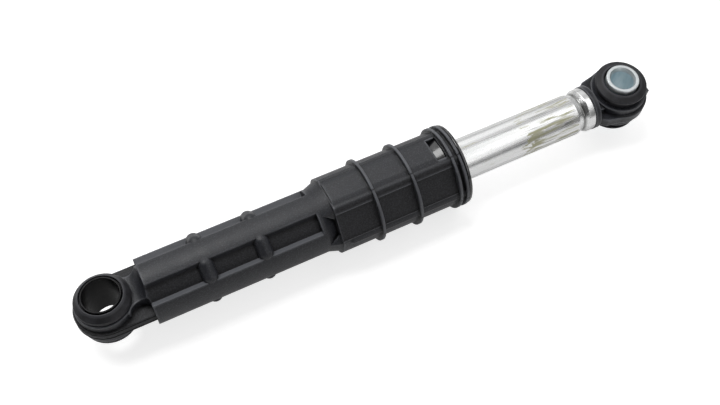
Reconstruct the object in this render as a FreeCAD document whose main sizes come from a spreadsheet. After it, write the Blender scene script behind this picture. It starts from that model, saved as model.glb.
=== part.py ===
import FreeCAD
import Part
import Sketcher
import os

doc = FreeCAD.newDocument("shock_absorber")

# Driving dimensions in millimetres and degrees.
# X runs along the damper from the lower eye's bore to the rod's eye, Z runs along that bore.
SIZES = {
    # Distance between the eyes at rest, and how far the rod is turned in the housing
    "eye_spacing": 233.8,
    "rod_twist": 7.0,
    # Lower eye of the housing
    "lower_hole_radius": 9.5,
    "lower_boss_wall": 2.0,
    "lower_boss_half": 5.6,
    "lower_plate_radius": 12.45,
    "lower_plate_half": 2.0,
    "rim_slot_height": 1.05,
    "rim_slot_width": 0.5,
    "rim_slot_depth": 0.5,
    "saddle_half_width": 9.5,
    "notch_radius": 4.7,
    "notch_centre": 12.0,
    "notch_offset": 11.0,
    "cove_radius": 5.4,
    # Barrel
    "barrel_start": 16.0,
    "barrel_radius": 13.6,
    "barrel_bore_radius": 9.8,
    "barrel_floor": 3.0,
    "pocket_wall": 1.3,
    "pocket_end": 87.1,
    "pocket_band_half_width": 4.95,
    "pocket_sill_angle": 59.6,
    "pocket_sill_slope": 22.0,
    "bump_first": 40.2,
    "bump_pitch": 23.1,
    "bump_radius": 3.1,
    "bump_reach": 2.4,
    # Head of the housing
    "head_start": 93.5,
    "head_end": 149.9,
    "head_radius": 16.15,
    "head_bore_radius": 13.75,
    "head_top_flat": 15.6,
    "panel_line_width": 0.6,
    "panel_line_depth": 0.5,
    "panel_line_half_width": 6.4,
    "side_panel_flat": 14.6,
    "side_panel_half_width": 6.0,
    "side_panel_angle": 58.5,
    "head_seat": 98.5,
    "shoulder_thickness": 2.5,
    "rib_setback": 1.0,
    "top_rib_angle": 27.7,
    "top_rib_radius": 1.6,
    "side_rib_angle": 88.5,
    "side_rib_radius": 2.4,
    "side_rib_setback": 4.5,
    "ring_radius": 17.8,
    "ring_thickness": 1.1,
    "ring_first": 110.9,
    "ring_pitch": 17.15,
    "ring_gap": 1.9,
    "ramp_start": 88.7,
    "ramp_step": 0.35,
    "valley_start_angle": 29.0,
    "valley_end_angle": 89.0,
    "valley_depth": 2.4,
    "gusset_angle": 68.0,
    "gusset_width": 4.2,
    "gusset_root": 8.5,
    "window_start": 141.0,
    "window_length": 4.3,
    "window_half_width": 5.4,
    # End cap
    "cap_gap": 0.3,
    "cap_thickness": 1.45,
    "cap_setback": 0.3,
    "cap_edge_round": 0.5,
    "cap_skirt_wall": 2.0,
    "cap_fit": 0.1,
    "tongue_clearance": 0.3,
    "tongue_crown_radius": 15.2,
    "tongue_tip_half_width": 4.1,
    # Friction lining
    "lining_length": 38.0,
    "lining_clearance": 0.05,
    # Steel tube
    "tube_radius": 9.0,
    "tube_wall": 1.1,
    "tube_start": 82.0,
    "tube_clearance": 0.35,
    "groove_setback": 5.55,
    "groove_half_width": 2.4,
    "groove_depth": 1.0,
    "groove_lean": 0.5,
    "groove_round": 0.6,
    "end_bead_rise": 0.5,
    # Guide on the tube's inner end
    "guide_flange": 4.0,
    "guide_clearance": 0.08,
    "guide_spigot": 9.0,
    "guide_bore_radius": 5.0,
    "guide_play": 0.08,
    # Moulded eye on the tube's outer end
    "collar_setback": 16.3,
    "collar_thickness": 2.4,
    "collar_radius": 9.7,
    "spigot_length": 18.0,
    "spigot_fit": 0.05,
    "spigot_bore_radius": 5.0,
    "upper_hole_radius": 9.2,
    "upper_boss_wall": 2.9,
    "upper_boss_half": 5.6,
    "upper_plate_radius": 13.2,
    "upper_plate_half": 2.0,
    "upper_plate_corner": 11.1,
    "upper_plate_corner_width": 11.0,
    "upper_plate_root_width": 8.0,
    "upper_lug_half_width": 5.0,
    "upper_lug_rise": 0.7,
    "neck_half_width": 6.0,
    "neck_half": 4.6,
    # Lower bush and its lining sleeve
    "lower_bore_radius": 7.1,
    "lower_sleeve_wall": 0.85,
    "lower_sleeve_half": 10.6,
    "lower_lip_round": 0.3,
    "lower_groove_width": 0.55,
    "lower_groove_depth": 1.5,
    "lower_ridge_half": 10.3,
    "lower_ridge_width": 0.35,
    "lower_rim_radius": 11.0,
    "lower_rim_top": 7.8,
    "lower_rim_low": 6.3,
    "lower_neck_radius": 10.3,
    # Upper bush and its spacer sleeve
    "upper_bore_radius": 5.0,
    "upper_sleeve_wall": 2.0,
    "upper_sleeve_half": 12.85,
    "upper_sleeve_chamfer": 0.25,
    "upper_mouth_width": 0.7,
    "upper_mouth_depth": 1.25,
    "upper_groove_width": 0.9,
    "upper_groove_depth": 2.0,
    "upper_ridge_half": 11.2,
    "upper_ridge_width": 0.3,
    "upper_rim_radius": 11.1,
    "upper_rim_top": 9.8,
    "upper_rim_low": 8.7,
    "upper_neck_radius": 10.1,
    # Round on the rims of both bushes, and the clearance of pieces that are pressed together
    "rim_round": 0.45,
    "press_fit": 0.02,
    # How far two features of one moulding run into each other
    "moulding_overlap": 0.02,
}

sheet = doc.addObject("Spreadsheet::Sheet", "sizes")
for row, (alias, value) in enumerate(SIZES.items(), start=1):
    sheet.set(f"A{row}", alias)
    sheet.set(f"B{row}", str(value))
    sheet.setAlias(f"B{row}", alias)
doc.recompute()

X_AXIS = FreeCAD.Vector(1, 0, 0)
Y_AXIS = FreeCAD.Vector(0, 1, 0)
Z_AXIS = FreeCAD.Vector(0, 0, 1)
RIGHT_ANGLE = 90
HALF_TURN = 180
FULL_TURN = 360
BUMPS_PER_POCKET = 2
RIM_TOLERANCE = 1e-4
# Length of cutting blocks, well outside the housing.
REACH = "4 * sizes.head_radius"


def number(text):
    """Value of an expression on the sheet."""
    return float(sheet.evalExpression(text))


def tie(piece, links):
    """Binds properties of a piece to expressions on the sheet."""
    for name, text in links.items():
        piece.setExpression(name, text)
    return piece


def cylinder(name, radius, length, base, direction):
    """Cylinder from a base point along one of the three axes."""
    piece = doc.addObject("Part::Cylinder", name)
    piece.Placement = FreeCAD.Placement(FreeCAD.Vector(), FreeCAD.Rotation(Z_AXIS, direction))
    links = {"Radius": radius, "Height": length}
    links.update(zip(("Placement.Base.x", "Placement.Base.y", "Placement.Base.z"), base))
    return tie(piece, links)


def bar(name, radius, start, length, centre_z="0"):
    """Cylinder along the damper."""
    return cylinder(name, radius, length, (start, "0", centre_z), X_AXIS)


def post(name, radius, half, centre_x, centre_y="0"):
    """Upright cylinder, as tall above the eyes' plane as below it."""
    return cylinder(name, radius, f"2 * ({half})", (centre_x, centre_y, f"-({half})"), Z_AXIS)


def cross_bar(name, radius, half, centre_x, centre_z):
    """Level cylinder across the damper."""
    return cylinder(name, radius, f"2 * ({half})", (centre_x, f"-({half})", centre_z), Y_AXIS)


def cone(name, start, length, first_radius, last_radius):
    """Blunt cone along the damper."""
    piece = doc.addObject("Part::Cone", name)
    piece.Placement = FreeCAD.Placement(FreeCAD.Vector(), FreeCAD.Rotation(Z_AXIS, X_AXIS))
    tie(piece, {"Radius1": first_radius, "Radius2": last_radius})
    return tie(piece, {"Height": length, "Placement.Base.x": start})


def ball(name, radius, centre):
    """Sphere about a point."""
    piece = doc.addObject("Part::Sphere", name)
    links = {"Radius": radius}
    links.update(zip(("Placement.Base.x", "Placement.Base.y", "Placement.Base.z"), centre))
    return tie(piece, links)


def block(name, start, length, low_y, width, low_z, height):
    """Box given by its lowest corner and its three sizes."""
    piece = doc.addObject("Part::Box", name)
    links = {"Length": length, "Width": width, "Height": height}
    links.update({"Placement.Base.x": start, "Placement.Base.y": low_y, "Placement.Base.z": low_z})
    return tie(piece, links)


def slab(name, start, length, half_width, half):
    """Box centred on the damper's axis."""
    return block(name, start, length, f"-({half_width})", f"2 * ({half_width})",
                 f"-({half})", f"2 * ({half})")


def wedge(name, start, end, first, last):
    """Tapering block along the damper; each end has its limits towards -Y and in Z."""
    piece = doc.addObject("Part::Wedge", name)
    piece.Placement = FreeCAD.Placement(FreeCAD.Vector(), FreeCAD.Rotation(Z_AXIS, -RIGHT_ANGLE))
    links = {"Ymin": start, "Ymax": end}
    for prefix, (far, near, low, high) in (("", first), ("2", last)):
        links.update({f"X{prefix}min": far, f"X{prefix}max": near})
        links.update({f"Z{prefix}min": low, f"Z{prefix}max": high})
    return tie(piece, links)


def turned_copy(name, piece, angle):
    """Copy of a piece turned about the damper's axis, from +Z towards -Y."""
    copy = doc.addObject("Part::Compound", name)
    copy.Links = [piece]
    copy.Placement = FreeCAD.Placement(FreeCAD.Vector(), FreeCAD.Rotation(X_AXIS, 1))
    return tie(copy, {"Placement.Rotation.Angle": angle})


def mirror_copy(name, piece, normal):
    """Mirror image of a piece in a plane through the lower eye's centre."""
    copy = doc.addObject("Part::Mirroring", name)
    copy.Source = piece
    copy.Normal = normal
    return copy


def fused(name, pieces):
    piece = doc.addObject("Part::MultiFuse", name)
    piece.Shapes = pieces
    return piece


def shared(name, pieces):
    piece = doc.addObject("Part::MultiCommon", name)
    piece.Shapes = pieces
    return piece


def minus(name, base, tool):
    piece = doc.addObject("Part::Cut", name)
    piece.Base = base
    piece.Tool = tool
    return piece


def spun(name, corners, axis):
    """Body of revolution about a sketch axis, from corners given as expressions."""
    body = doc.addObject("PartDesign::Body", name)
    sketch = body.newObject("Sketcher::SketchObject", f"{name}_outline")
    plane = next(item for item in body.Origin.OriginFeatures if item.Role == "XZ_Plane")
    sketch.AttachmentSupport = [(plane, "")]
    sketch.MapMode = "FlatFace"
    points = [FreeCAD.Vector(number(across), number(up), 0) for across, up in corners]
    following = points[1:] + points[:1]
    for start, end in zip(points, following):
        sketch.addGeometry(Part.LineSegment(start, end), False)
    for index in range(len(points)):
        after = (index + 1) % len(points)
        sketch.addConstraint(Sketcher.Constraint("Coincident", index, 2, after, 1))
    for index, corner in enumerate(corners):
        for kind, text in zip(("DistanceX", "DistanceY"), corner):
            place = sketch.addConstraint(Sketcher.Constraint(kind, -1, 1, index, 1, number(text)))
            sketch.setExpression(f"Constraints[{place}]", text)
    solid = body.newObject("PartDesign::Revolution", f"{name}_spun")
    solid.Profile = sketch
    solid.ReferenceAxis = (sketch, [axis])
    solid.Angle = FULL_TURN
    doc.recompute()
    return body


def round_rims(body, radius, corners, axis):
    """Rounds the circular edges through the given corners of a body of revolution."""
    wanted = [(number(along), number(out)) for along, out in corners]
    solid = body.Tip
    rims = []
    for index, edge in enumerate(solid.Shape.Edges, start=1):
        if isinstance(edge.Curve, Part.Circle):
            place = (edge.Curve.Center.dot(axis), edge.Curve.Radius)
            if any(abs(place[0] - along) + abs(place[1] - out) < RIM_TOLERANCE for along, out in wanted):
                rims.append(f"Edge{index}")
    fillet = body.newObject("PartDesign::Fillet", f"{body.Name}_rounds_{len(body.Group)}")
    fillet.Base = (solid, rims)
    fillet.setExpression("Radius", radius)
    doc.recompute()


# Places along the damper that several pieces share.
HEAD_LENGTH = "(sizes.head_end - sizes.head_start)"
LINING_END = "(sizes.head_seat + sizes.lining_length)"
CAP_START = "(sizes.head_end + sizes.cap_gap)"
CAP_END = "(sizes.head_end + sizes.cap_gap + sizes.cap_thickness)"
CAP_RADIUS = "(sizes.ring_radius - sizes.cap_setback)"
CAP_SKIRT_RADIUS = "(sizes.head_bore_radius - sizes.cap_fit)"
CAP_SKIRT_BORE = "(sizes.head_bore_radius - sizes.cap_fit - sizes.cap_skirt_wall)"
RUNNING_HOLE = "(sizes.tube_radius + sizes.tube_clearance)"
TUBE_BORE = "(sizes.tube_radius - sizes.tube_wall)"
TUBE_END = "(sizes.eye_spacing - sizes.collar_setback)"
INNER_GROOVE = "(sizes.tube_start + sizes.groove_setback)"
OUTER_GROOVE = "(sizes.eye_spacing - sizes.collar_setback - sizes.groove_setback)"
POCKET_FLOOR = "(sizes.barrel_bore_radius + sizes.pocket_wall)"
RIB_CROWN = "(sizes.ring_radius - sizes.rib_setback)"
RAMP_LENGTH = "(sizes.head_start - sizes.ramp_start)"


def groove_corners(centre, radius, rise="0"):
    """Three corners of a rolled groove in a wall of the given radius, which may widen after it."""
    return [
        (f"{centre} - sizes.groove_half_width", radius),
        (f"{centre} + sizes.groove_lean", f"{radius} - sizes.groove_depth"),
        (f"{centre} + sizes.groove_half_width", f"{radius} + {rise}"),
    ]


def eye_plate(name, radius, length):
    """Flange plate that is round about the lower eye and straight towards the barrel."""
    end = post(f"{name}_end", radius, "sizes.lower_plate_half", "0")
    side = slab(f"{name}_side", "0", length, radius, "sizes.lower_plate_half")
    return fused(name, [end, side])


def housing_eye():
    """Boss, plate with two slots along its rim, and the saddle that runs in a cove into the barrel."""
    root = "sizes.barrel_floor / 2"
    boss_radius = "sizes.lower_hole_radius + sizes.lower_boss_wall"
    boss = post("lower_boss", boss_radius, "sizes.lower_boss_half", "0")
    plate_length = f"sizes.barrel_start + {root}"
    full_plate = eye_plate("lower_plate", "sizes.lower_plate_radius", plate_length)
    plate_core = eye_plate("plate_core", "sizes.lower_plate_radius - sizes.rim_slot_depth", plate_length)
    slot_block = block("rim_slot_block", f"-({REACH})", f"{REACH} + sizes.barrel_start", f"-({REACH})",
                       f"2 * {REACH}", "sizes.rim_slot_height", "sizes.rim_slot_width")
    slot = minus("rim_slot", slot_block, plate_core)
    slots = fused("rim_slots", [slot, mirror_copy("rim_slot_low", slot, Z_AXIS)])
    plate = minus("slotted_plate", full_plate, slots)
    saddle = slab("saddle", "0", plate_length, "sizes.saddle_half_width", "sizes.lower_boss_half")
    cove_start = "sizes.barrel_start - sizes.cove_radius"
    cove_length = f"sizes.cove_radius + {root}"
    cove_height = "(sizes.lower_boss_half + sizes.cove_radius)"
    cove_block = slab("cove_block", cove_start, cove_length, "sizes.saddle_half_width", cove_height)
    cove_limit = bar("cove_limit", POCKET_FLOOR, "0", plate_length)
    hollows = []
    for side in ("", "-"):
        name = "low" if side else "top"
        centre_z = f"{side}({cove_height} - sizes.moulding_overlap)"
        hollows.append(cross_bar(f"cove_{name}", "sizes.cove_radius", REACH, cove_start, centre_z))
    cove = minus("cove", shared("cove_round", [cove_block, cove_limit]), fused("cove_hollows", hollows))
    notches = []
    for side, name in (("-", "near"), ("", "far")):
        centre_y = f"{side}sizes.notch_offset"
        notches.append(post(f"notch_{name}", "sizes.notch_radius", REACH, "sizes.notch_centre", centre_y))
    arm = minus("saddle_arm", fused("saddle_block", [saddle, cove]), fused("notches", notches))
    return [boss, plate, arm]


def barrel_pockets():
    """Four long recesses beside the plain bands, open at the eye's end."""
    length = "sizes.pocket_end - sizes.barrel_start"
    beside_band = block("pocket_side", "sizes.barrel_start", length, f"-({REACH})",
                        f"{REACH} - sizes.pocket_band_half_width", f"-({REACH})", f"2 * {REACH}")
    sill_height = "sizes.barrel_radius * cos(sizes.pocket_sill_angle + sizes.pocket_sill_slope)"
    sill = block("pocket_sill", "sizes.barrel_start", length, f"-({REACH})", f"2 * {REACH}",
                 sill_height, REACH)
    above_sill = turned_copy("pocket_above_sill", sill, "-sizes.pocket_sill_slope")
    floor = bar("pocket_floor", POCKET_FLOOR, "sizes.barrel_start", length)
    near = minus("pocket_near", shared("pocket_outline", [beside_band, above_sill]), floor)
    upper = fused("pockets_top", [near, mirror_copy("pocket_far", near, Y_AXIS)])
    return fused("pockets", [upper, mirror_copy("pockets_low", upper, Z_AXIS)])


def pocket_bumps():
    """Round-ended bumps that bridge each recess and stand a little proud of the barrel."""
    bumps = []
    for index in range(BUMPS_PER_POCKET):
        centre = f"sizes.bump_first + {index} * sizes.bump_pitch"
        bumps.append(cross_bar(f"bump_{index}", "sizes.bump_radius", "sizes.bump_reach",
                               centre, POCKET_FLOOR))
        for side, end in (("-", "near"), ("", "far")):
            place = (centre, f"{side}sizes.bump_reach", POCKET_FLOOR)
            bumps.append(ball(f"bump_{index}_{end}", "sizes.bump_radius", place))
    band_angle = "asin(sizes.pocket_band_half_width / sizes.barrel_radius)"
    middle = f"({band_angle} + sizes.pocket_sill_angle * 1 deg) / 2"
    near = turned_copy("bumps_near", fused("bumps_row", bumps), middle)
    upper = fused("bumps_top", [near, mirror_copy("bumps_far", near, Y_AXIS)])
    return [upper, mirror_copy("bumps_low", upper, Z_AXIS)]


def head_shell():
    """Six-sided head with flat panels, bead ribs on its corners and ring ribs around it."""
    start = "sizes.head_start"
    head_round = bar("head_round", "sizes.head_radius", start, HEAD_LENGTH)
    top_flats = slab("head_top_flats", start, HEAD_LENGTH, REACH, "sizes.head_top_flat")
    line = slab("panel_line_cut", start, "sizes.panel_line_width", "sizes.panel_line_half_width", REACH)
    line_floor = slab("panel_line_floor", start, HEAD_LENGTH, REACH,
                      "sizes.head_top_flat - sizes.panel_line_depth")
    side_cut = slab("side_panel_cut", start, HEAD_LENGTH, "sizes.side_panel_half_width", REACH)
    side_floor = slab("side_panel_floor", start, HEAD_LENGTH, REACH, "sizes.side_panel_flat")
    side_panels = minus("side_panels", side_cut, side_floor)
    sunk = [minus("panel_lines", line, line_floor)]
    sunk.append(turned_copy("side_panels_turned", side_panels, "sizes.side_panel_angle"))
    pieces = [minus("head_core", shared("head_blank", [head_round, top_flats]), fused("head_sunk", sunk))]

    bead_centre = f"{RIB_CROWN} - sizes.top_rib_radius"
    bead = bar("top_rib", "sizes.top_rib_radius", start, HEAD_LENGTH, bead_centre)
    for half_turn in (0, HALF_TURN):
        for sign in ("", "-"):
            angle = f"{half_turn} {sign or '+'} sizes.top_rib_angle"
            pieces.append(turned_copy(f"top_rib_{len(pieces)}", bead, angle))

    side_start = "sizes.head_start + sizes.side_rib_setback"
    side_length = f"{HEAD_LENGTH} - sizes.side_rib_setback"
    side_centre = f"{RIB_CROWN} - sizes.side_rib_radius"
    side_bar = bar("side_rib_bar", "sizes.side_rib_radius", side_start, side_length, side_centre)
    side_end = ball("side_rib_end", "sizes.side_rib_radius", (side_start, "0", side_centre))
    side_rib = fused("side_rib", [side_bar, side_end])
    for half_turn in (0, HALF_TURN):
        angle = f"{half_turn} + sizes.side_rib_angle"
        pieces.append(turned_copy(f"side_rib_{len(pieces)}", side_rib, angle))

    last_ring = "sizes.head_end - sizes.ring_thickness"
    ring_starts = ["sizes.ring_first - sizes.ring_thickness / 2"]
    ring_starts.append("sizes.ring_first + sizes.ring_pitch - sizes.ring_thickness / 2")
    ring_starts.append(f"{last_ring} - sizes.ring_gap - sizes.ring_thickness")
    ring_starts.append(last_ring)
    for index, place in enumerate(ring_starts):
        pieces.append(bar(f"ring_{index}", "sizes.ring_radius", place, "sizes.ring_thickness"))
    return pieces


def valley_sectors():
    """Blocks over the two valleys, one in front of each sunk side panel."""
    half = block("valley_half", "sizes.ramp_start", RAMP_LENGTH, f"-({REACH})", REACH,
                 f"-({REACH})", f"2 * {REACH}")
    after_start = turned_copy("valley_after_start", half, "sizes.valley_start_angle")
    before_end = turned_copy("valley_before_end", half, f"sizes.valley_end_angle - {HALF_TURN}")
    valley = shared("valley", [after_start, before_end])
    return fused("valleys", [valley, turned_copy("valley_opposite", valley, str(HALF_TURN))])


def barrel_tube(valleys):
    """Plain round of the barrel, dished towards the head in each valley."""
    length = "sizes.head_seat - sizes.barrel_start"
    plain = bar("barrel_plain", "sizes.barrel_radius", "sizes.barrel_start", length)
    floor = cone("valley_floor", "sizes.ramp_start", RAMP_LENGTH, "sizes.barrel_radius",
                 "sizes.barrel_radius - sizes.valley_depth")
    return minus("barrel", plain, minus("valley_dishes", valleys, floor))


def head_ramp(valleys):
    """Cone from the barrel up to the head, with a gusset at each side of a valley."""
    start = "sizes.ramp_start"
    top = "(sizes.head_top_flat - sizes.ramp_step)"
    slope = cone("ramp_cone", start, RAMP_LENGTH, "sizes.barrel_radius", top)
    lean = "(sizes.valley_start_angle - sizes.gusset_angle)"
    tip = f"sizes.barrel_radius * sin({lean})"
    foot = f"{top} * sin({lean})"
    root = "sizes.gusset_root"
    wall = wedge("gusset", start, "sizes.head_start",
                 (tip, f"{tip} + sizes.moulding_overlap", root, f"sizes.barrel_radius * cos({lean})"),
                 (foot, f"{foot} + sizes.gusset_width", root, f"{top} * cos({lean})"))
    second_angle = "sizes.valley_start_angle + sizes.valley_end_angle - sizes.gusset_angle"
    first = turned_copy("gusset_first", wall, "sizes.gusset_angle")
    second = turned_copy("gusset_second", mirror_copy("gusset_mirror", wall, Y_AXIS), second_angle)
    gussets = fused("gussets", [first, second])
    return [minus("ramp", slope, valleys), gussets, turned_copy("gussets_opposite", gussets, str(HALF_TURN))]


def make_housing():
    """The black moulding: eye, barrel and head in one piece."""
    valleys = valley_sectors()
    barrel = barrel_tube(valleys)
    solid = fused("housing_solid", [barrel] + housing_eye() + head_shell() + head_ramp(valleys))
    outside = fused("housing_outside", [minus("housing_sunk", solid, barrel_pockets())] + pocket_bumps())
    bore_start = "sizes.barrel_start + sizes.barrel_floor"
    shoulder = "sizes.head_seat - sizes.shoulder_thickness"
    hollows = [
        post("lower_hole", "sizes.lower_hole_radius", REACH, "0"),
        bar("barrel_bore", "sizes.barrel_bore_radius", bore_start, f"{shoulder} - ({bore_start})"),
        bar("shoulder_hole", RUNNING_HOLE, bore_start, f"sizes.head_seat - ({bore_start})"),
        bar("head_bore", "sizes.head_bore_radius", "sizes.head_seat", "sizes.head_end - sizes.head_seat"),
        slab("windows", "sizes.window_start", "sizes.window_length", "sizes.window_half_width", REACH),
    ]
    return minus("housing", outside, fused("housing_hollows", hollows))


def make_end_cap():
    """Glossy ring that closes the head, with a skirt and two snap tongues in the windows."""
    ring = spun("cap_ring", [
        (LINING_END, CAP_SKIRT_BORE),
        (LINING_END, CAP_SKIRT_RADIUS),
        (CAP_START, CAP_SKIRT_RADIUS),
        (CAP_START, CAP_RADIUS),
        (CAP_END, CAP_RADIUS),
        (CAP_END, RUNNING_HOLE),
        (CAP_START, RUNNING_HOLE),
        (CAP_START, CAP_SKIRT_BORE),
    ], "H_Axis")
    rims = [(CAP_START, CAP_RADIUS), (CAP_END, CAP_RADIUS)]
    round_rims(ring, "sizes.cap_edge_round", rims, X_AXIS)
    start = "sizes.window_start + sizes.tongue_clearance"
    end = "sizes.window_start + sizes.window_length - sizes.tongue_clearance"
    root = f"{CAP_SKIRT_BORE} + sizes.cap_skirt_wall / 2"
    half_width = "sizes.window_half_width - sizes.tongue_clearance"
    tip = "sizes.tongue_tip_half_width"
    crown = "sizes.tongue_crown_radius"
    tongue = wedge("tongue", start, end, (f"-{tip}", tip, root, crown),
                   (f"-({half_width})", half_width, root, crown))
    slope = cone("tongue_slope", start, f"{end} - ({start})", "sizes.head_bore_radius", crown)
    top = shared("tongue_top", [tongue, slope])
    return fused("end_cap", [ring, top, mirror_copy("tongue_low", top, Z_AXIS)])


def make_friction_lining():
    """Greased foam sleeve in the head that grips the tube."""
    inside = "sizes.tube_radius + sizes.lining_clearance"
    outside = "sizes.head_bore_radius - sizes.press_fit"
    return spun("friction_lining", [
        ("sizes.head_seat + sizes.press_fit", inside),
        ("sizes.head_seat + sizes.press_fit", outside),
        (f"{LINING_END} - sizes.press_fit", outside),
        (f"{LINING_END} - sizes.press_fit", inside),
    ], "H_Axis")


def make_rod_tube():
    """Drawn steel tube, rolled into a groove near each end, and swelled at its outer end."""
    outer = "sizes.tube_radius"
    rise = "sizes.end_bead_rise"
    outside = groove_corners(INNER_GROOVE, outer) + groove_corners(OUTER_GROOVE, outer, rise)
    inside = groove_corners(INNER_GROOVE, TUBE_BORE) + groove_corners(OUTER_GROOVE, TUBE_BORE, rise)
    bead_rim = (TUBE_END, f"{outer} + {rise}")
    corners = [("sizes.tube_start", outer)] + outside + [bead_rim, (TUBE_END, f"{TUBE_BORE} + {rise}")]
    corners += inside[::-1] + [("sizes.tube_start", TUBE_BORE)]
    tube = spun("rod_tube", corners, "H_Axis")
    round_rims(tube, "sizes.groove_round", outside + inside + [bead_rim], X_AXIS)
    return tube


def make_rod_guide():
    """Plastic bush that turns freely on the tube's inner end and runs in the barrel."""
    start = "sizes.tube_start - sizes.guide_play - sizes.guide_flange"
    seat = "sizes.tube_start - sizes.guide_play"
    flange = "sizes.barrel_bore_radius - sizes.guide_clearance"
    spigot = f"{TUBE_BORE} - sizes.guide_play"
    end = "sizes.tube_start + sizes.guide_spigot"
    corners = [(start, "sizes.guide_bore_radius"), (start, flange), (seat, flange), (seat, spigot)]
    corners += groove_corners(INNER_GROOVE, spigot)
    corners += [(end, spigot), (end, "sizes.guide_bore_radius")]
    return spun("rod_guide", corners, "H_Axis")


def make_rod_end():
    """Moulded eye with a flared plate and its end lug, a collar and a spigot held in the tube's groove."""
    eye = "sizes.eye_spacing"
    spigot_radius = f"{TUBE_BORE} - sizes.spigot_fit"
    spigot_start = f"{TUBE_END} - sizes.spigot_length"
    corners = [(spigot_start, "sizes.spigot_bore_radius"), (spigot_start, spigot_radius)]
    corners += groove_corners(OUTER_GROOVE, spigot_radius, "sizes.end_bead_rise")
    corners += [(TUBE_END, f"{spigot_radius} + sizes.end_bead_rise"), (TUBE_END, "sizes.spigot_bore_radius")]
    spigot = spun("spigot", corners, "H_Axis")
    collar = bar("collar", "sizes.collar_radius", TUBE_END, "sizes.collar_thickness")
    neck = slab("neck", TUBE_END, "sizes.collar_setback", "sizes.neck_half_width", "sizes.neck_half")
    boss_radius = "sizes.upper_hole_radius + sizes.upper_boss_wall"
    boss = post("upper_boss", boss_radius, "sizes.upper_boss_half", eye)
    plate_end = post("upper_plate_end", "sizes.upper_plate_radius", "sizes.upper_plate_half", eye)
    low, high = "-sizes.upper_plate_half", "sizes.upper_plate_half"
    corner = "sizes.eye_spacing - sizes.upper_plate_corner"
    root_end, corner_end, eye_end = [(f"-{width}", width, low, high) for width in (
        "sizes.upper_plate_root_width", "sizes.upper_plate_corner_width", "sizes.upper_plate_radius")]
    plate_start = f"{TUBE_END} + sizes.collar_thickness / 2"
    plate_root = wedge("upper_plate_root", plate_start, corner, root_end, corner_end)
    plate_flare = wedge("upper_plate_flare", corner, eye, corner_end, eye_end)
    lug = slab("upper_lug", eye, "sizes.upper_plate_radius + sizes.upper_lug_rise",
               "sizes.upper_lug_half_width", "sizes.upper_plate_half")
    solid = fused("rod_end_solid", [spigot, collar, neck, boss, plate_end, plate_root, plate_flare, lug])
    hole = post("upper_hole", "sizes.upper_hole_radius", REACH, eye)
    rod_end = minus("rod_end", solid, hole)
    rod_end.Placement = FreeCAD.Placement(FreeCAD.Vector(), FreeCAD.Rotation(X_AXIS, 1))
    return tie(rod_end, {"Placement.Rotation.Angle": "sizes.rod_twist"})


def both_faces(corners):
    """Outline that is the same above and below the eye's plane."""
    return corners + [(across, f"-({up})") for across, up in reversed(corners)]


def make_bush(name, end, sleeve_radius):
    """Rubber bush moulded into an eye, with a coned collar over each face of the boss."""
    def size(word):
        return f"sizes.{end}_{word}"
    bore = f"{sleeve_radius} + sizes.press_fit"
    groove = f"{sleeve_radius} + {size('groove_width')}"
    groove_floor = f"{size('ridge_half')} - {size('groove_depth')}"
    hole = f"{size('hole_radius')} - sizes.press_fit"
    boss = f"{size('boss_half')} + sizes.press_fit"
    bush = spun(name, both_faces([
        (bore, groove_floor),
        (groove, groove_floor),
        (groove, size("ridge_half")),
        (f"{groove} + {size('ridge_width')}", size("ridge_half")),
        (size("rim_radius"), size("rim_top")),
        (size("rim_radius"), size("rim_low")),
        (size("neck_radius"), size("rim_low")),
        (size("neck_radius"), boss),
        (hole, boss),
    ]), "V_Axis")
    rims = [(side + size("rim_top"), size("rim_radius")) for side in ("", "-")]
    round_rims(bush, "sizes.rim_round", rims, Z_AXIS)
    return bush


def make_lower_sleeve():
    """Thin sleeve that lines the lower bush, with a rounded lip at each end."""
    radius = "sizes.lower_bore_radius"
    outer = f"{radius} + sizes.lower_sleeve_wall"
    half = "sizes.lower_sleeve_half"
    sleeve = spun("lower_sleeve", both_faces([(radius, half), (outer, half)]), "V_Axis")
    lips = [(side + half, place) for side in ("", "-") for place in (radius, outer)]
    round_rims(sleeve, "sizes.lower_lip_round", lips, Z_AXIS)
    return sleeve


def make_upper_sleeve():
    """Plated steel spacer with a coned mouth and a chamfered rim at each end."""
    inner = "sizes.upper_bore_radius"
    half = "sizes.upper_sleeve_half"
    chamfer = "sizes.upper_sleeve_chamfer"
    outer = f"{inner} + sizes.upper_sleeve_wall"
    return spun("upper_sleeve", both_faces([
        (inner, f"{half} - sizes.upper_mouth_depth"),
        (f"{inner} + sizes.upper_mouth_width", half),
        (f"{outer} - {chamfer}", half),
        (outer, f"{half} - {chamfer}"),
    ]), "V_Axis")


def seat_in_rod_eye(piece):
    """Moves a piece made at the origin into the rod's eye, turned with the rod."""
    piece.Placement = FreeCAD.Placement(FreeCAD.Vector(), FreeCAD.Rotation(X_AXIS, 1))
    tie(piece, {"Placement.Base.x": "sizes.eye_spacing"})
    return tie(piece, {"Placement.Rotation.Angle": "sizes.rod_twist"})


nodes = [
    make_housing(),
    make_bush("lower_bush", "lower", "sizes.lower_bore_radius + sizes.lower_sleeve_wall"),
    make_lower_sleeve(),
    make_friction_lining(),
    make_end_cap(),
    make_rod_guide(),
    make_rod_tube(),
    make_rod_end(),
    seat_in_rod_eye(make_bush("upper_bush", "upper", "sizes.upper_bore_radius + sizes.upper_sleeve_wall")),
    seat_in_rod_eye(make_upper_sleeve()),
]
doc.recompute()

failed = [item.Name for item in doc.Objects if {"Invalid", "Error"} & set(item.State)]
if failed:
    raise RuntimeError(f"failed objects: {failed}")
for node in nodes:
    if node.Shape.isNull() or not node.Shape.isValid() or len(node.Shape.Solids) != 1:
        raise RuntimeError(f"{node.Label} is not one valid solid")

os.makedirs("parts", exist_ok=True)
for node in nodes:
    node.Shape.exportStep(f"parts/{node.Label}.step")
    print(f"{node.Label}: {node.Shape.Volume:.1f} cubic mm")
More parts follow.
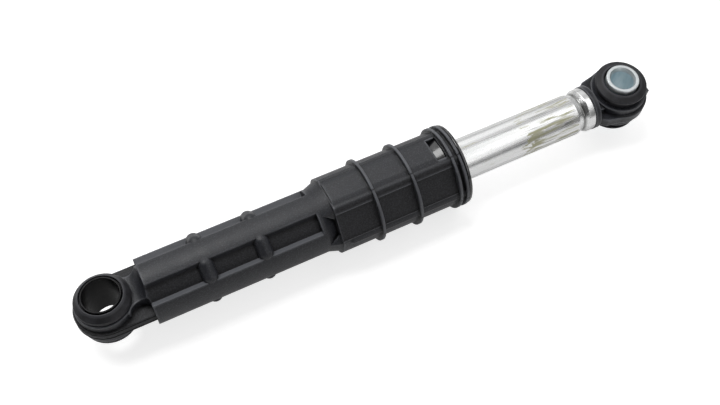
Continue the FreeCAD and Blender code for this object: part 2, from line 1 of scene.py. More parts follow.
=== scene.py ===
import math

import bmesh
import bpy
from mathutils import Matrix, Vector


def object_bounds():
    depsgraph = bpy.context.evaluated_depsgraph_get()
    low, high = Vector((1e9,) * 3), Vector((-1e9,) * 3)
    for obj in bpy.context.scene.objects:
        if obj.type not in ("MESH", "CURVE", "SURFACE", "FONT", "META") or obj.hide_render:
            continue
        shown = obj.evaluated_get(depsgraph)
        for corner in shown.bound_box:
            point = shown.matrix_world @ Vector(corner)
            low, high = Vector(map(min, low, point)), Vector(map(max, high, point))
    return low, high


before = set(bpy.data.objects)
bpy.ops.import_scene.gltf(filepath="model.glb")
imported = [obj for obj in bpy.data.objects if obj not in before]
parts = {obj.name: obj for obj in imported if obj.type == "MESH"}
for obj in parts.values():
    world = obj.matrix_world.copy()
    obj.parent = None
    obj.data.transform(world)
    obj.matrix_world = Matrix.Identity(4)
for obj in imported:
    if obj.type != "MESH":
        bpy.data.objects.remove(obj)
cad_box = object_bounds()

MM = 0.001

# Housing
# The lower eye, the barrel and the ribbed head are one black moulding of glass-filled nylon.
# The steel mould is spark eroded, so the walls have a fine even grain. Ribs, rings and edges
# are painted grey, partly as wear from handling and partly as painted highlight. The up-facing
# sills along the pockets are painted paler as painted highlight. Inner corners, the pockets, the
# sunk panels and the eye's plate are painted dark as painted shade, and the recesses are dull.
NYLON_BLACK = (0.0172, 0.0182, 0.0224)
NYLON_SHADE = tuple(0.8 * level for level in NYLON_BLACK)
NYLON_WORN = (0.1, 0.1055, 0.123)
# Paler grey of ribs, rings and edges: partly wear from handling, partly painted highlight.
NYLON_EDGE_WEAR_AND_HIGHLIGHT = (0.135, 0.14, 0.154)
# Near black of inner corners and creases: painted shade.
NYLON_CORNER_SHADE = (0.003, 0.003, 0.0035)
# Near black with paler specks in the pockets, sunk panels and on the eye's plate: painted shade.
NYLON_RECESS_SHADE = (0.008, 0.008, 0.0096)
NYLON_RECESS_SHADE_SPECK = (0.034, 0.035, 0.0405)
# Pale grey of the up-facing sills: painted highlight.
NYLON_SILL_HIGHLIGHT = (0.1, 0.104, 0.115)
NYLON_GLEAM = 0.4
NYLON_ROUND = 0.7 * MM
NYLON_MOTTLE = 160.0
GLASS_SHOWS = 0.36
HOUSING_GRAIN = 0.5 * MM
HOUSING_GRAIN_DEPTH = 0.2 * MM
HOUSING_ROUGHNESS = 0.42
RECESS_ROUGHNESS = 0.6
RECESS_SPECKS = 1800.0
SHADE_SAMPLES = 8
CORNER_REACH = 1.6 * MM
CORNER_OPEN = 0.93
CORNER_TIGHT = 0.55
CORNER_DARKNESS = 0.85
RUBBED_DEPTH = 1.2 * MM
WALL_THICK = 0.9
WALL_THIN = 0.55
FADE = 0.5 * MM
BARREL_START = 16.0 * MM
HEAD_START = 93.5 * MM
PLATE_HALF = 2.0 * MM
POCKET_FLOOR = 11.1 * MM
SILL_INSIDE = 9.5 * MM
SIDE_PANEL_FLAT = 14.6 * MM
SIDE_PANEL_ANGLE = math.radians(58.5)
SIDE_PANEL_OUT = (0.0, -math.sin(SIDE_PANEL_ANGLE), math.cos(SIDE_PANEL_ANGLE))
OFF_AXIS = (0.0, 1.0, 1.0)


def start_finish(name, colour, roughness, metallic=0.0):
    """New material with a plain shader, and that shader."""
    finish = bpy.data.materials.new(name)
    finish.use_nodes = True
    shader = finish.node_tree.nodes["Principled BSDF"]
    shader.inputs["Base Color"].default_value = (*colour, 1.0)
    shader.inputs["Roughness"].default_value = roughness
    shader.inputs["Metallic"].default_value = metallic
    return finish, shader


def add(finish, kind, sockets, **settings):
    """New shader node; each socket takes a value or another node's output."""
    made = finish.node_tree.nodes.new(kind)
    for key, value in settings.items():
        setattr(made, key, value)
    for key, value in sockets.items():
        if isinstance(value, bpy.types.NodeSocket):
            finish.node_tree.links.new(value, made.inputs[key])
        else:
            made.inputs[key].default_value = value
    return made


def join(finish, output, shader, socket):
    """Leads a node's output into one of the shader's sockets."""
    finish.node_tree.links.new(output, shader.inputs[socket])


def place_on_piece(finish, stretch=(1.0, 1.0, 1.0)):
    """Coordinates of the piece itself in metres, stretched along its axes."""
    coords = add(finish, "ShaderNodeTexCoord", {}).outputs["Object"]
    return add(finish, "ShaderNodeMapping", {"Vector": coords, "Scale": stretch}).outputs[0]


def axes_of(finish, where):
    """X, Y and Z of a place or a direction."""
    return add(finish, "ShaderNodeSeparateXYZ", {0: where}).outputs


def reckon(finish, operation, first, second=0.0):
    """One sum; each number may be another node's output."""
    return add(finish, "ShaderNodeMath", {0: first, 1: second}, operation=operation).outputs[0]


def product(finish, first, second):
    """Two numbers multiplied, so that a spot needs both marks to count."""
    return reckon(finish, "MULTIPLY", first, second)


def along_line(finish, where, direction):
    """How far a place lies along a direction."""
    sockets = {0: where, 1: direction}
    return add(finish, "ShaderNodeVectorMath", sockets, operation="DOT_PRODUCT").outputs["Value"]


def cloud(finish, where, scale, detail=2.0, roughness=0.5):
    """Soft random pattern between 0 and 1; the scale is in patches per metre."""
    sockets = {"Vector": where, "Scale": scale, "Detail": detail, "Roughness": roughness}
    return add(finish, "ShaderNodeTexNoise", sockets).outputs[0]


def between(finish, value, low, high, to_low=0.0, to_high=1.0):
    """Maps a value from one range to another and stops at the ends."""
    sockets = {0: value, 1: low, 2: high, 3: to_low, 4: to_high}
    return add(finish, "ShaderNodeMapRange", sockets).outputs[0]


def tint(finish, amount, colour, other):
    """Mixes two colours by an amount; either may be another node's output."""
    mix = add(finish, "ShaderNodeMix", {0: amount}, data_type="RGBA")
    for index, value in ((6, colour), (7, other)):
        if isinstance(value, bpy.types.NodeSocket):
            finish.node_tree.links.new(value, mix.inputs[index])
        else:
            mix.inputs[index].default_value = (*value, 1.0)
    return mix.outputs[2]


def soft_edges(finish, radius):
    """Normal with the piece's sharp edges rounded off."""
    return add(finish, "ShaderNodeBevel", {"Radius": radius}, samples=SHADE_SAMPLES).outputs[0]


def corners(finish):
    """How deep a spot lies in an inner corner: 0 in the open, 1 in a tight corner."""
    air = add(finish, "ShaderNodeAmbientOcclusion", {"Distance": CORNER_REACH},
              samples=SHADE_SAMPLES, only_local=True)
    return between(finish, air.outputs["AO"], CORNER_OPEN, CORNER_TIGHT)


def proud(finish):
    """How thin and proud the material is at a spot: 1 on beads, ribs and outer edges."""
    wall = add(finish, "ShaderNodeAmbientOcclusion", {"Distance": RUBBED_DEPTH},
               samples=SHADE_SAMPLES, only_local=True, inside=True)
    return between(finish, wall.outputs["AO"], WALL_THICK, WALL_THIN)


def grain(finish, height, depth, strength, normal):
    """Normal of a surface whose skin rises and falls by the given depth in metres."""
    sockets = {"Height": height, "Distance": depth, "Strength": strength, "Normal": normal}
    return add(finish, "ShaderNodeBump", sockets).outputs[0]


def moulded_nylon(name, grain_size, depth, roughness):
    """Black glass-filled nylon: grained skin, cloudy sheen, edges lightened as wear and painted
    highlight, corners darkened as painted shade.
    """
    finish, shader = start_finish(name, NYLON_BLACK, roughness)
    shader.inputs["Specular IOR Level"].default_value = NYLON_GLEAM
    where = place_on_piece(finish)
    fine = cloud(finish, where, 1.0 / grain_size, 3.0, 0.6)
    mottle = cloud(finish, where, NYLON_MOTTLE, 3.0)
    cloudy = tint(finish, between(finish, mottle, 0.3, 0.7), NYLON_SHADE, NYLON_BLACK)
    glass = between(finish, fine, 0.5, 0.72, 0.0, GLASS_SHOWS)
    speckled = tint(finish, glass, cloudy, NYLON_WORN)
    corner = corners(finish)
    # Ribs and outer edges take a paler grey, partly wear and partly painted highlight.
    rib = product(finish, proud(finish), between(finish, corner, 0.0, 0.6, 1.0, 0.0))
    edge_wear_and_highlight = product(finish, rib, between(finish, mottle, 0.3, 0.65, 0.55, 0.9))
    skin = tint(finish, edge_wear_and_highlight, speckled, NYLON_EDGE_WEAR_AND_HIGHLIGHT)
    # Inner corners are darkened by an occlusion mask: painted shade.
    shaded = tint(finish, product(finish, corner, CORNER_DARKNESS), skin, NYLON_CORNER_SHADE)
    join(finish, shaded, shader, "Base Color")
    sheen = between(finish, mottle, 0.3, 0.7, roughness - 0.05, roughness + 0.06)
    join(finish, sheen, shader, "Roughness")
    rounded = soft_edges(finish, NYLON_ROUND)
    join(finish, grain(finish, fine, depth, 0.6, rounded), shader, "Normal")
    return finish


def past(finish, value, edge):
    """Marks what lies past an edge, with a short fade."""
    return between(finish, value, edge, edge + FADE)


def in_pocket(finish, where, along):
    """Marks the floors of the pockets along the barrel."""
    sockets = {0: where, 1: OFF_AXIS}
    radial = add(finish, "ShaderNodeVectorMath", sockets, operation="MULTIPLY").outputs[0]
    radius = add(finish, "ShaderNodeVectorMath", {0: radial}, operation="LENGTH").outputs["Value"]
    low = between(finish, radius, POCKET_FLOOR + 0.35 * MM, POCKET_FLOOR + 0.1 * MM)
    return product(finish, low, past(finish, along, BARREL_START))


def in_side_panel(finish, where, along):
    """Marks the sunk panels at the sides of the head."""
    depth = reckon(finish, "ABSOLUTE", along_line(finish, where, SIDE_PANEL_OUT))
    under = between(finish, depth, SIDE_PANEL_FLAT + 0.3 * MM, SIDE_PANEL_FLAT + 0.05 * MM)
    over = between(finish, depth, SIDE_PANEL_FLAT - 0.3 * MM, SIDE_PANEL_FLAT - 0.05 * MM)
    return product(finish, product(finish, under, over), past(finish, along, HEAD_START))


def on_plate(finish, height, along):
    """Marks the flat plate that carries the eye."""
    level = reckon(finish, "ABSOLUTE", height)
    thin = between(finish, level, PLATE_HALF + 0.3 * MM, PLATE_HALF + 0.1 * MM)
    before_barrel = between(finish, along, BARREL_START, BARREL_START + FADE, 1.0, 0.0)
    return product(finish, thin, before_barrel)


def on_sill(finish, aside, along):
    """Marks the flat sill along each pocket."""
    before_head = between(finish, along, HEAD_START - FADE, HEAD_START, 1.0, 0.0)
    on_barrel = product(finish, past(finish, along, BARREL_START), before_head)
    off_middle = reckon(finish, "ABSOLUTE", aside)
    outside = between(finish, off_middle, SILL_INSIDE - 0.15 * MM, SILL_INSIDE)
    surface = add(finish, "ShaderNodeNewGeometry", {}).outputs["Normal"]
    facing = reckon(finish, "ABSOLUTE", axes_of(finish, surface)["Z"])
    flat = between(finish, facing, 0.87, 0.9)
    return product(finish, on_barrel, product(finish, outside, flat))


def paint_recess_shade_and_sill_highlight(finish):
    """Darkens pockets, sunk panels and the eye's plate as painted shade and makes them dull;
    lightens the sills as painted highlight.
    """
    shader = finish.node_tree.nodes["Principled BSDF"]
    skin = shader.inputs["Base Color"].links[0].from_socket
    sheen = shader.inputs["Roughness"].links[0].from_socket
    where = place_on_piece(finish)
    axes = axes_of(finish, where)
    along = axes["X"]
    # Pockets, sunk panels and the eye's plate are darkened with speckled near black: painted
    # shade.
    hollow = reckon(finish, "MAXIMUM", in_pocket(finish, where, along),
                    in_side_panel(finish, where, along))
    sunk = reckon(finish, "MAXIMUM", hollow, on_plate(finish, axes["Z"], along))
    coarse = cloud(finish, where, RECESS_SPECKS)
    speckled = tint(finish, between(finish, coarse, 0.4, 0.8), NYLON_RECESS_SHADE, NYLON_RECESS_SHADE_SPECK)
    corner = product(finish, corners(finish), CORNER_DARKNESS)
    skin_with_recess_shade = tint(finish, sunk, skin, tint(finish, corner, speckled, NYLON_CORNER_SHADE))
    # The flat, up-facing sills are lightened: painted highlight.
    sill = on_sill(finish, axes["Y"], along)
    join(finish, tint(finish, sill, skin_with_recess_shade, NYLON_SILL_HIGHLIGHT), shader, "Base Color")
    dull = add(finish, "ShaderNodeMix", {0: sunk, 2: sheen, 3: RECESS_ROUGHNESS}).outputs[0]
    join(finish, dull, shader, "Roughness")


def dress(node, finish):
    """Gives a CAD node its finish."""
    mesh = parts[node].data
    mesh.materials.clear()
    mesh.materials.append(finish)


housing_nylon = moulded_nylon(
    "housing_nylon", HOUSING_GRAIN, HOUSING_GRAIN_DEPTH, HOUSING_ROUGHNESS)
paint_recess_shade_and_sill_highlight(housing_nylon)
dress("housing", housing_nylon)

# Lower bush
# Matt black rubber moulded into the lower eye, with a coned collar over each face of the boss.
# A dry bloom lies on it. Its rims are painted paler, partly as wear and partly as painted
# highlight, and its grooves are painted dark as painted shade.
RUBBER_BLACK = (0.0105, 0.0105, 0.0125)
RUBBER_BLOOM = (0.04, 0.0405, 0.047)
# Paler grey of the rubber's rims: partly wear, partly painted highlight.
RUBBER_RIM_WEAR_AND_HIGHLIGHT = (0.066, 0.067, 0.075)
# Near black of the rubber's grooves and inner corners: painted shade.
RUBBER_CORNER_SHADE = (0.002, 0.002, 0.0024)
RUBBER_GLEAM = 0.36
RUBBER_ROUND = 0.3 * MM
RUBBER_GRAIN_DEPTH = 0.05 * MM
BLOOM_PATCHES = 220.0
RUBBER_GRAIN = 1600.0
RIM_PALENESS = 0.6
GROOVE_DARKNESS = 0.9
bush_rubber, rubber_shader = start_finish("bush_rubber", RUBBER_BLACK, 0.6)
rubber_shader.inputs["Specular IOR Level"].default_value = RUBBER_GLEAM
rubber_place = place_on_piece(bush_rubber)
bloom = cloud(bush_rubber, rubber_place, BLOOM_PATCHES, 4.0, 0.6)
bloomed = between(bush_rubber, bloom, 0.45, 0.75, 0.0, 0.7)
dusty = tint(bush_rubber, bloomed, RUBBER_BLACK, RUBBER_BLOOM)
# Thin proud rims are lightened, partly as wear and partly as painted highlight.
rim = product(bush_rubber, proud(bush_rubber), RIM_PALENESS)
rubber_worn_and_highlit = tint(bush_rubber, rim, dusty, RUBBER_RIM_WEAR_AND_HIGHLIGHT)
# Grooves and inner corners are darkened by an occlusion mask: painted shade.
rubber_groove_shade = product(bush_rubber, corners(bush_rubber), GROOVE_DARKNESS)
rubber_skin = tint(bush_rubber, rubber_groove_shade, rubber_worn_and_highlit, RUBBER_CORNER_SHADE)
join(bush_rubber, rubber_skin, rubber_shader, "Base Color")
rubber_sheen = between(bush_rubber, bloom, 0.3, 0.7, 0.5, 0.68)
join(bush_rubber, rubber_sheen, rubber_shader, "Roughness")
rubber_fine = cloud(bush_rubber, rubber_place, RUBBER_GRAIN)
rubber_round = soft_edges(bush_rubber, RUBBER_ROUND)
rubber_normal = grain(bush_rubber, rubber_fine, RUBBER_GRAIN_DEPTH, 0.5, rubber_round)
join(bush_rubber, rubber_normal, rubber_shader, "Normal")
dress("lower_bush", bush_rubber)

# Lower sleeve
# Thin black lining of the lower bush, which turns on the pin of the machine's base.
# It is a smooth satin plastic with faint rings from the tool that faced it.
SLEEVE_BLACK = (0.003, 0.003, 0.0034)
SLEEVE_SCUFF = (0.011, 0.011, 0.0124)
SLEEVE_GLEAM = 0.16
SLEEVE_ROUND = 0.25 * MM
SLEEVE_RING_DEPTH = 0.03 * MM
SLEEVE_RING_STRETCH = (1.0, 1.0, 6.0)
SLEEVE_RINGS = 320.0
sleeve_plastic, sleeve_shader = start_finish("sleeve_plastic", SLEEVE_BLACK, 0.42)
sleeve_shader.inputs["Specular IOR Level"].default_value = SLEEVE_GLEAM
sleeve_place = place_on_piece(sleeve_plastic, SLEEVE_RING_STRETCH)
rings = cloud(sleeve_plastic, sleeve_place, SLEEVE_RINGS, 3.0)
ring_scuff = between(sleeve_plastic, rings, 0.5, 0.75, 0.0, 0.6)
sleeve_skin = tint(sleeve_plastic, ring_scuff, SLEEVE_BLACK, SLEEVE_SCUFF)
join(sleeve_plastic, sleeve_skin, sleeve_shader, "Base Color")
sleeve_sheen = between(sleeve_plastic, rings, 0.3, 0.7, 0.34, 0.5)
join(sleeve_plastic, sleeve_sheen, sleeve_shader, "Roughness")
sleeve_round = soft_edges(sleeve_plastic, SLEEVE_ROUND)
sleeve_normal = grain(sleeve_plastic, rings, SLEEVE_RING_DEPTH, 0.4, sleeve_round)
join(sleeve_plastic, sleeve_normal, sleeve_shader, "Normal")
dress("lower_sleeve", sleeve_plastic)

# Friction lining
# Strip of open foam soaked with grease, rolled into the head around the tube.
# Its drag on the tube is what damps the machine's tub.
FOAM_DARK = (0.1, 0.09, 0.055)
FOAM_PALE = (0.42, 0.38, 0.25)
FOAM_CELLS = 1400.0
FOAM_CELL_DEPTH = 0.3 * MM
lining_foam, foam_shader = start_finish("lining_foam", FOAM_PALE, 0.8)
foam_sockets = {"Vector": place_on_piece(lining_foam), "Scale": FOAM_CELLS}
cells = add(lining_foam, "ShaderNodeTexVoronoi", foam_sockets).outputs["Distance"]
foam_skin = tint(lining_foam, between(lining_foam, cells, 0.1, 0.6), FOAM_PALE, FOAM_DARK)
join(lining_foam, foam_skin, foam_shader, "Base Color")
foam_surface = add(lining_foam, "ShaderNodeNewGeometry", {}).outputs["Normal"]
foam_normal = grain(lining_foam, cells, FOAM_CELL_DEPTH, 0.8, foam_surface)
join(lining_foam, foam_normal, foam_shader, "Normal")
dress("friction_lining", lining_foam)

# End cap
# Glossy black ring of unfilled nylon that snaps into the head with a tongue in each window.
# Its polished mould leaves it smooth enough to show the lamps.
CAP_BLACK = (0.012, 0.012, 0.0135)
CAP_SCUFF = (0.045, 0.045, 0.048)
CAP_GLEAM = 0.7
CAP_COAT = 0.3
CAP_COAT_ROUGHNESS = 0.1
CAP_ROUND = 0.25 * MM
CAP_RIPPLE = 0.02 * MM
CAP_PATCHES = 260.0
cap_plastic, cap_shader = start_finish("cap_plastic", CAP_BLACK, 0.17)
cap_shader.inputs["Specular IOR Level"].default_value = CAP_GLEAM
cap_shader.inputs["Coat Weight"].default_value = CAP_COAT
cap_shader.inputs["Coat Roughness"].default_value = CAP_COAT_ROUGHNESS
handled = cloud(cap_plastic, place_on_piece(cap_plastic), CAP_PATCHES, 4.0, 0.6)
cap_scuffed = between(cap_plastic, handled, 0.55, 0.8, 0.0, 0.6)
cap_skin = tint(cap_plastic, cap_scuffed, CAP_BLACK, CAP_SCUFF)
join(cap_plastic, cap_skin, cap_shader, "Base Color")
cap_sheen = between(cap_plastic, handled, 0.35, 0.7, 0.12, 0.27)
join(cap_plastic, cap_sheen, cap_shader, "Roughness")
cap_round = soft_edges(cap_plastic, CAP_ROUND)
cap_normal = grain(cap_plastic, handled, CAP_RIPPLE, 0.3, cap_round)
join(cap_plastic, cap_normal, cap_shader, "Normal")
dress("end_cap", cap_plastic)

# Rod guide
# Turned acetal bush on the tube's inner end. It runs in the barrel and stops the rod at full
# stretch, and the tube turns freely on it.
ACETAL = (0.72, 0.71, 0.66)
ACETAL_GREASE = (0.5, 0.47, 0.33)
TURNED_STRETCH = (8.0, 1.0, 1.0)
TURNED_LINES = 300.0
guide_acetal, guide_shader = start_finish("guide_acetal", ACETAL, 0.35)
guide_place = place_on_piece(guide_acetal, TURNED_STRETCH)
turning = cloud(guide_acetal, guide_place, TURNED_LINES, 3.0)
greasy = between(guide_acetal, turning, 0.5, 0.7, 0.0, 0.8)
guide_skin = tint(guide_acetal, greasy, ACETAL, ACETAL_GREASE)
join(guide_acetal, guide_skin, guide_shader, "Base Color")
guide_sheen = between(guide_acetal, turning, 0.3, 0.7, 0.25, 0.45)
join(guide_acetal, guide_sheen, guide_shader, "Roughness")
dress("rod_guide", guide_acetal)

# Rod tube
# Thin-walled steel tube, drawn through a die, so fine scratches run along it.
# Grease from the lining has dried on it in olive smears near the rod's eye, thickest at the side,
# with a few specks nearer the head. The rolled groove is darkened as painted shade.
STEEL = (0.82, 0.825, 0.825)
STEEL_DULL = (0.74, 0.745, 0.74)
STEEL_SCORED = (0.3, 0.3, 0.29)
GREASE = (0.37, 0.357, 0.2)
GREASE_ROUGHNESS = 0.4
GREASE_METAL_LEFT = 0.3
GREASE_COVER = 0.85
SMEAR_START = 183.0 * MM
SMEAR_START_FADE = 1.5 * MM
SMEAR_THICK_END = SMEAR_START + 3.0 * MM
SMEAR_THIN_START = SMEAR_START + 9.0 * MM
SMEAR_END = 209.5 * MM
SMEAR_END_FADE = 1.0 * MM
SMEAR_RAGGED = 4.0 * MM
SMEAR_SIDE = -6.6 * MM
SMEAR_SIDE_FADE = 1.6 * MM
SMEAR_THICK = 0.15
SMEAR_THIN = 0.05
SMEAR_TOP = 0.115
SCORED_COVER = 0.8
SPECKS_FROM = 153.0 * MM
SPECKS_MORE = 0.035
SPECK_COVER = 0.7
GROOVE_PLACE = 212.45 * MM
GROOVE_FLOOR = 0.2 * MM
GROOVE_HALF = 1.0 * MM
GROOVE_COVER = 0.8
# Dark grey in the rolled groove: painted shade.
TUBE_GROOVE_SHADE = (0.13, 0.13, 0.125)
DRAWN_DEPTH = 0.007 * MM
tube_steel, steel_shader = start_finish("tube_steel", STEEL, 0.26, 1.0)


def drawn_out(stretch, scale, detail, roughness=0.5):
    """Random pattern drawn out along the tube."""
    where = place_on_piece(tube_steel, (stretch, 1.0, 1.0))
    return cloud(tube_steel, where, scale, detail, roughness)


scratches = drawn_out(0.012, 2600.0, 3.0, 0.6)
bands = drawn_out(0.012, 420.0, 2.0)
streaks = drawn_out(0.1, 620.0, 5.0, 0.65)
scores = drawn_out(0.045, 1500.0, 3.0)
blots = drawn_out(0.5, 420.0, 4.0, 0.6)
tube_axes = axes_of(tube_steel, place_on_piece(tube_steel))
on_length = tube_axes["X"]
wander = between(tube_steel, blots, 0.3, 0.7, -SMEAR_RAGGED, SMEAR_RAGGED)
ragged = reckon(tube_steel, "ADD", on_length, wander)
after_start = between(tube_steel, ragged, SMEAR_START, SMEAR_START + SMEAR_START_FADE)
before_end = between(tube_steel, on_length, SMEAR_END - SMEAR_END_FADE, SMEAR_END, 1.0, 0.0)
smear_place = product(tube_steel, after_start, before_end)
at_side = between(tube_steel, tube_axes["Y"], SMEAR_SIDE + SMEAR_SIDE_FADE, SMEAR_SIDE)
thickness = between(tube_steel, on_length, SMEAR_THICK_END, SMEAR_THIN_START,
                    SMEAR_THICK, SMEAR_THIN)
wetness = reckon(tube_steel, "ADD", product(tube_steel, at_side, thickness), SMEAR_TOP)
wet_streaks = reckon(tube_steel, "ADD", streaks, product(tube_steel, smear_place, wetness))
smeared = between(tube_steel, wet_streaks, 0.63, 0.74, 0.0, GREASE_COVER)
more_specks = between(tube_steel, on_length, SPECKS_FROM, SMEAR_START, SPECKS_MORE, 0.0)
speck_blots = reckon(tube_steel, "ADD", blots, more_specks)
specked = between(tube_steel, speck_blots, 0.735, 0.76, 0.0, SPECK_COVER)
greased = reckon(tube_steel, "MAXIMUM", smeared, specked)
steel_skin = tint(tube_steel, between(tube_steel, bands, 0.35, 0.65), STEEL, STEEL_DULL)
deep_scores = between(tube_steel, scores, 0.6, 0.68, 0.0, SCORED_COVER)
scored = product(tube_steel, smear_place, deep_scores)
scored_skin = tint(tube_steel, scored, steel_skin, STEEL_SCORED)
# The rolled groove is darkened: painted shade.
past_groove = reckon(tube_steel, "SUBTRACT", on_length, GROOVE_PLACE)
from_groove = reckon(tube_steel, "ABSOLUTE", past_groove)
in_groove = between(tube_steel, from_groove, GROOVE_FLOOR, GROOVE_HALF, GROOVE_COVER, 0.0)
steel_with_groove_shade = tint(tube_steel, in_groove, scored_skin, TUBE_GROOVE_SHADE)
join(tube_steel, tint(tube_steel, greased, steel_with_groove_shade, GREASE), steel_shader, "Base Color")
metal_left = between(tube_steel, greased, 0.0, 1.0, 1.0, GREASE_METAL_LEFT)
join(tube_steel, metal_left, steel_shader, "Metallic")
polish = between(tube_steel, scratches, 0.3, 0.7, 0.22, 0.34)
tube_sheen = add(tube_steel, "ShaderNodeMix", {0: greased, 2: polish, 3: GREASE_ROUGHNESS})
join(tube_steel, tube_sheen.outputs[0], steel_shader, "Roughness")
tube_surface = add(tube_steel, "ShaderNodeNewGeometry", {}).outputs["Normal"]
tube_normal = grain(tube_steel, scratches, DRAWN_DEPTH, 0.5, tube_surface)
join(tube_steel, tube_normal, steel_shader, "Normal")
dress("rod_tube", tube_steel)

# Rod end
# Moulded eye of the same glass-filled nylon, with a flared plate, a collar against the tube's
# end and a spigot inside it that the rolled groove grips.
EYE_GRAIN = 0.6 * MM
EYE_GRAIN_DEPTH = 0.08 * MM
EYE_ROUGHNESS = 0.33
eye_nylon = moulded_nylon("eye_nylon", EYE_GRAIN, EYE_GRAIN_DEPTH, EYE_ROUGHNESS)
dress("rod_end", eye_nylon)

# Upper bush
# The same black rubber, moulded into the rod's eye, with a taller coned collar at each face.
# It grips the spacer sleeve.
dress("upper_bush", bush_rubber)

# Upper sleeve
# Steel spacer cut from tube, chamfered at both ends and bright zinc plated. The plating has a blue
# cast in the bore and is rubbed plain at the ends. The bolt to the tub goes through it.
ZINC = (0.82, 0.915, 0.95)
ZINC_DULL = (0.68, 0.805, 0.85)
ZINC_RUBBED = (0.74, 0.775, 0.785)
ZINC_ROUND = 0.2 * MM
ZINC_RIPPLE = 0.01 * MM
ZINC_STRETCH = (1.0, 1.0, 0.2)
ZINC_PATCHES = 520.0
SPACER_AXIS = (0.0, -0.12186934, 0.99254615)
SPACER_HALF = 11.6 * MM
zinc_plate, zinc_shader = start_finish("zinc_plate", ZINC, 0.45, 0.9)
spangle = cloud(zinc_plate, place_on_piece(zinc_plate, ZINC_STRETCH), ZINC_PATCHES, 3.0)
plated = tint(zinc_plate, between(zinc_plate, spangle, 0.35, 0.7), ZINC, ZINC_DULL)
along_bore = along_line(zinc_plate, place_on_piece(zinc_plate), SPACER_AXIS)
from_middle = reckon(zinc_plate, "ABSOLUTE", along_bore)
at_ends = between(zinc_plate, from_middle, SPACER_HALF - 1.0 * MM, SPACER_HALF - 0.6 * MM)
join(zinc_plate, tint(zinc_plate, at_ends, plated, ZINC_RUBBED), zinc_shader, "Base Color")
zinc_sheen = between(zinc_plate, spangle, 0.3, 0.7, 0.38, 0.52)
join(zinc_plate, zinc_sheen, zinc_shader, "Roughness")
zinc_round = soft_edges(zinc_plate, ZINC_ROUND)
zinc_normal = grain(zinc_plate, spangle, ZINC_RIPPLE, 0.4, zinc_round)
join(zinc_plate, zinc_normal, zinc_shader, "Normal")
dress("upper_sleeve", zinc_plate)

# Floor
# White painted table that the damper lies on. It shows white to the eye and in the metal,
# and keeps the damper's shadow.
FLOOR_WHITE = (0.6, 0.6, 0.6)
FLOOR_GLOW = 0.72
FLOOR_GLOW_IN_METAL = 0.3
FLOOR_HALF = 3.0
floor_height = Matrix.Translation((0.0, 0.0, cad_box[0][2]))
floor_shape = bmesh.new()
bmesh.ops.create_grid(
    floor_shape, x_segments=1, y_segments=1, size=FLOOR_HALF, matrix=floor_height)
floor_mesh = bpy.data.meshes.new("floor")
floor_shape.to_mesh(floor_mesh)
floor_shape.free()
floor = bpy.data.objects.new("floor", floor_mesh)
bpy.context.scene.collection.objects.link(floor)
floor_paint, floor_shader = start_finish("floor_paint", FLOOR_WHITE, 0.9)
floor_shader.inputs["Specular IOR Level"].default_value = 0.0
floor_shader.inputs["Emission Color"].default_value = (1.0, 1.0, 1.0, 1.0)
ray = add(floor_paint, "ShaderNodeLightPath", {}).outputs
mirrored = reckon(floor_paint, "ADD", ray["Is Glossy Ray"], ray["Is Transmission Ray"])
seen_glow = product(floor_paint, ray["Is Camera Ray"], FLOOR_GLOW)
mirrored_glow = product(floor_paint, mirrored, FLOOR_GLOW_IN_METAL)
glow = reckon(floor_paint, "ADD", seen_glow, mirrored_glow)
join(floor_paint, glow, floor_shader, "Emission Strength")
floor_mesh.materials.append(floor_paint)

# Light
# A pale wall behind the table and a dim room in front of it, one soft lamp overhead and one
# behind, and a long reflector to the right that draws the bright line along the tube.
WALL_SIDE = (0.45, 0.89, 0.0)
ROOM_IN_FRONT = 0.07
ROOM_BEHIND = 0.53
MIDDLE = Vector((0.117, 0.0, 0.0))
room = bpy.data.worlds.new("room")
room.use_nodes = True
bpy.context.scene.world = room
sky = room.node_tree.nodes["Background"]
sky.inputs["Color"].default_value = (1.0, 1.0, 1.0, 1.0)
outward = add(room, "ShaderNodeTexCoord", {}).outputs["Generated"]
towards_wall = along_line(room, outward, WALL_SIDE)
room_light = between(room, towards_wall, -0.15, 0.45, ROOM_IN_FRONT, ROOM_BEHIND)
join(room, room_light, sky, "Strength")


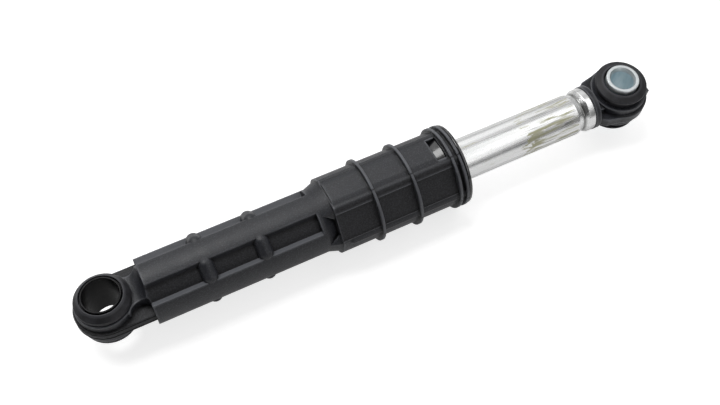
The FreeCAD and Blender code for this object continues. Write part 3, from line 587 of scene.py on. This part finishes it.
def soft_lamp(name, towards, distance, width, length, brightness):
    """Flat lamp that faces the damper's middle from a direction; its length lies nearest to Y."""
    lamp = bpy.data.lights.new(name, "AREA")
    lamp.shape = "RECTANGLE"
    lamp.size = width
    lamp.size_y = length
    lamp.energy = brightness * math.pi * width * length
    holder = bpy.data.objects.new(name, lamp)
    away = Vector(towards).normalized()
    sideways = Vector((0.0, 1.0, 0.0)).cross(away).normalized()
    stand = Matrix((sideways, away.cross(sideways), away)).transposed().to_4x4()
    stand.translation = MIDDLE + away * distance
    holder.matrix_world = stand
    bpy.context.scene.collection.objects.link(holder)


soft_lamp("top_lamp", towards=(-0.2, 0.32, 0.925), distance=0.85,
          width=0.6, length=0.36, brightness=6.3)
soft_lamp("back_lamp", towards=(0.1, 0.8, 0.6), distance=0.9,
          width=0.9, length=0.5, brightness=0.7)
soft_lamp("tube_reflector", towards=(0.42, -0.56, 0.72), distance=0.75,
          width=0.28, length=1.4, brightness=1.5)

# Camera
# It stands over the lower eye, a little to the front, and looks along the damper's length.
# It is rolled a little, as a camera held in the hand is.
CAMERA_PLACE = Vector((0.012623, -0.207584, 0.331839))
CAMERA_TARGET = Vector((0.108434, -0.000135, 0.0))
CAMERA_ROLL = -0.033
CAMERA_SENSOR = 36.0
CAMERA_LENS = 49.183
CAMERA_NEAREST = 0.01
forward = (CAMERA_TARGET - CAMERA_PLACE).normalized()
level = forward.cross(Vector((0.0, 0.0, 1.0))).normalized()
upright = level.cross(forward)
across = math.cos(CAMERA_ROLL) * level + math.sin(CAMERA_ROLL) * upright
up = math.cos(CAMERA_ROLL) * upright - math.sin(CAMERA_ROLL) * level
lens = bpy.data.cameras.new("camera")
lens.sensor_width = CAMERA_SENSOR
lens.lens = CAMERA_LENS
lens.clip_start = CAMERA_NEAREST
camera = bpy.data.objects.new("camera", lens)
tripod = Matrix((across, up, -forward)).transposed().to_4x4()
tripod.translation = CAMERA_PLACE
camera.matrix_world = tripod
bpy.context.scene.collection.objects.link(camera)
bpy.context.scene.camera = camera
bpy.context.scene.view_settings.view_transform = "Standard"
